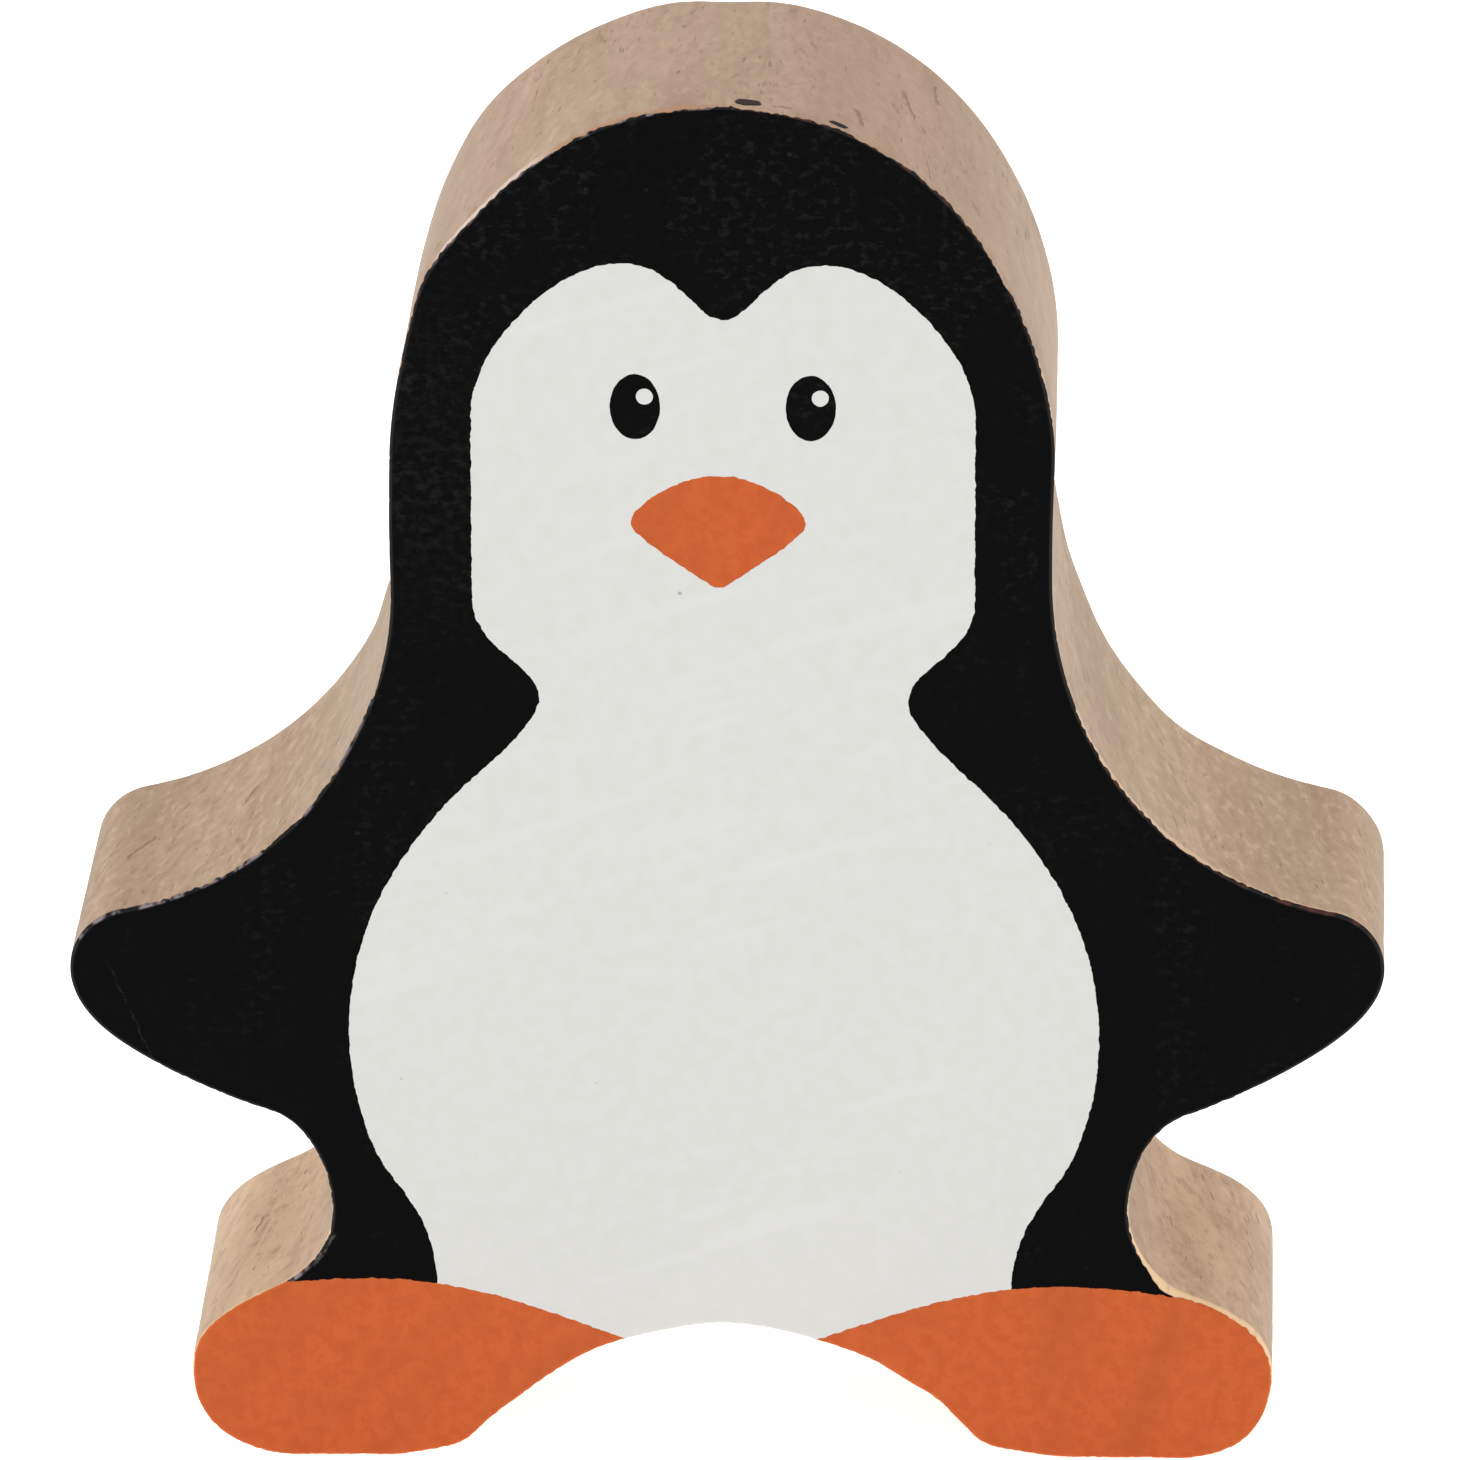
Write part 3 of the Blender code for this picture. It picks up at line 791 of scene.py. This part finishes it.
def paper():
    """Bright studio paper, lit a little from below as on a light table."""
    finish = Finish("studio_paper", Base_Color=(0.93, 0.93, 0.93, 1), Specular_IOR_Level=0.1,
                    Emission_Color=(1, 1, 1, 1), Emission_Strength=FLOOR_GLOW)
    tooth = finish.grain(finish.place(), scale=0.6, detail=3.0)
    finish.feed(Roughness=0.75 + 0.1 * tooth)
    return finish.material


# The figure

# Drops of black that missed the front and dried on the crown: middle, depth behind the
# front, length along the rim and width towards the back
OVERSPILL = [(1.25, 0.68, 1.1, 0.72), (4.98, 0.58, 0.7, 0.42)]


def overspill(whole, bare):
    """Thin patches that follow the wood where the drops fell."""
    shape = bmesh.new()
    for x, depth, length, width in OVERSPILL:
        ring = bmesh.ops.create_circle(shape, cap_ends=True, segments=28, radius=0.5 * MM)
        for vert in ring["verts"]:
            vert.co *= 1 + 0.22 * noise.noise(vert.co / MM * 3.0 + Vector((x, 0, 0)))
        turn = Matrix.Translation(Vector((x, FRONT + depth, CROWN - 2.5)) * MM)
        bmesh.ops.transform(shape, verts=ring["verts"],
                            matrix=turn @ Matrix.Diagonal((length, width, 1, 1)))
    faces = list(shape.faces)
    grown = bmesh.ops.extrude_face_region(shape, geom=faces)["geom"]
    moved = [part for part in grown if isinstance(part, bmesh.types.BMVert)]
    bmesh.ops.translate(shape, verts=moved, vec=(0, 0, 3.5 * MM))
    bmesh.ops.recalc_face_normals(shape, faces=shape.faces)
    return carve(as_object("overspill", shape), ("INTERSECT", whole), ("DIFFERENCE", bare))


def build_figure():
    """The board and its ten printed areas, each standing for its own node."""
    board = build_board()
    whole = plate("whole_print", offset(blank_outline(), INK), FRONT, FRONT + 1.6, ARRIS + INK)
    bare = plate("bare_wood", blank_outline(), WOOD_FRONT, FRONT + 2.2, ARRIS)
    inked = inked_outline()
    white = ragged(registered(white_outline()), 2.0)
    right_foot = ragged(registered(right_foot_outline(), ORANGE_SLIP), 3.0)
    left_foot = ragged(registered(mirrored(right_foot_outline()), ORANGE_SLIP), 4.0)
    beak = ragged(registered(beak_outline(), ORANGE_SLIP), 5.0)

    def tool(name, loop):
        return plate(name, loop, FRONT - 0.5, FRONT + 0.9)

    cut_inked = tool("cut_inked", inked)
    cut_white = tool("cut_white", white)
    cut_beak = tool("cut_beak", beak)
    cut_right_foot = tool("cut_right_foot", right_foot)
    cut_left_foot = tool("cut_left_foot", left_foot)
    on_the_board = [("INTERSECT", whole), ("DIFFERENCE", bare)]

    coat = carve(plate("black_print", inked, FRONT - 0.1, FRONT + 0.5),
                 ("DIFFERENCE", cut_white), ("DIFFERENCE", cut_right_foot),
                 ("DIFFERENCE", cut_left_foot), *on_the_board)
    join(coat, overspill(whole, bare))
    feet = [carve(plate(side + "_foot_print", inked, FRONT - 0.1, FRONT + 0.5),
                  ("INTERSECT", cutter), *on_the_board)
            for side, cutter in (("left", cut_left_foot), ("right", cut_right_foot))]

    eyes = []
    glints = []
    cut_eyes = []
    cut_glints = []
    for name, side in (("left", -1), ("right", 1)):
        outline = ragged(registered(eye_outline(side)), 6.0 + side, 0.02)
        glint = ragged(registered(glint_outline(side)), 9.0 + side, 0.015)
        cut_eyes.append(tool("cut_" + name + "_eye", outline))
        cut_glints.append(tool("cut_" + name + "_glint", glint))
        eyes.append(carve(plate(name + "_eye_print", outline, FRONT, WOOD_FRONT),
                          ("DIFFERENCE", cut_glints[-1])))
        glints.append(plate(name + "_glint_print", glint, FRONT, WOOD_FRONT))
    shirt = carve(plate("white_print", inked, FRONT - 0.1, FRONT + 0.5),
                  ("INTERSECT", cut_white), ("DIFFERENCE", cut_right_foot),
                  ("DIFFERENCE", cut_left_foot), ("DIFFERENCE", cut_beak),
                  ("DIFFERENCE", cut_eyes[0]), ("DIFFERENCE", cut_eyes[1]), *on_the_board)
    bill = plate("beak_print", beak, FRONT, WOOD_FRONT)
    for used in (whole, bare, cut_inked, cut_white, cut_beak, cut_right_foot, cut_left_foot,
                 *cut_eyes, *cut_glints):
        bpy.data.objects.remove(used)

    wood, black, white, orange = beech(), black_ink(), white_ink(), orange_ink()
    dress(board, "wood_body", wood)
    dress(coat, "black_coat", black)
    dress(shirt, "white_front", white)
    dress(bill, "beak", orange)
    for piece, name in zip(feet, ("left", "right")):
        dress(piece, name + "_foot", orange)
    for piece, name in zip(eyes, ("left", "right")):
        dress(piece, name + "_eye", black)
    for piece, name in zip(glints, ("left", "right")):
        dress(piece, name + "_eye_glint", white)


def dress(piece, node, material):
    piece.data.materials.clear()
    piece.data.materials.append(material)
    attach(piece, "root")
    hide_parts(node)


# The studio

FLOOR_SPREAD = 3.0


def build_floor():
    shape = bmesh.new()
    bmesh.ops.create_grid(shape, x_segments=8, y_segments=8, size=FLOOR_SPREAD)
    floor = as_object("studio_floor", shape)
    floor.data.materials.append(paper())


def light(name, place, aim, size, power):
    lamp = bpy.data.lights.new(name, "AREA")
    lamp.shape = "SQUARE"
    lamp.size = size
    lamp.energy = power
    holder = bpy.data.objects.new(name, lamp)
    holder.location = place
    holder.rotation_euler = (aim - Vector(place)).to_track_quat("-Z", "Y").to_euler()
    bpy.context.collection.objects.link(holder)


def build_lights():
    middle = Vector((0, 0, CROWN * MM / 2))
    light("soft_left", (-0.66, -0.06, 0.14), middle, 0.5, 1.4)
    light("soft_right", (0.66, -0.06, 0.14), middle, 0.5, 1.15)
    world = bpy.data.worlds.new("studio_air")
    world.use_nodes = True
    air = world.node_tree.nodes["Background"]
    air.inputs["Color"].default_value = (1, 1, 1, 1)
    air.inputs["Strength"].default_value = 0.92
    bpy.context.scene.world = world


LENS = 335.3
CAMERA_DISTANCE = 0.5642
CAMERA_AIM = (0.254, 32.85)
CAMERA_ELEVATION = 20.4
CAMERA_AZIMUTH = 2.30
CAMERA_ROLL = -0.68


def build_camera():
    aim = Vector((CAMERA_AIM[0], FRONT, CAMERA_AIM[1])) * MM
    up = radians(CAMERA_ELEVATION)
    around = radians(CAMERA_AZIMUTH)
    away = Vector((sin(around) * cos(up), -cos(around) * cos(up), sin(up)))
    lens = bpy.data.cameras.new("studio_camera")
    lens.lens = LENS
    lens.sensor_width = 36
    lens.clip_start = 0.01
    camera = bpy.data.objects.new("studio_camera", lens)
    look = (-away).to_track_quat("-Z", "Y").to_matrix().to_4x4()
    camera.matrix_world = (Matrix.Translation(aim + away * CAMERA_DISTANCE) @ look
                           @ Matrix.Rotation(radians(CAMERA_ROLL), 4, "Z"))
    bpy.context.collection.objects.link(camera)
    bpy.context.scene.camera = camera
    bpy.context.scene.view_settings.view_transform = "Standard"


build_camera()
build_figure()
build_floor()
build_lights()
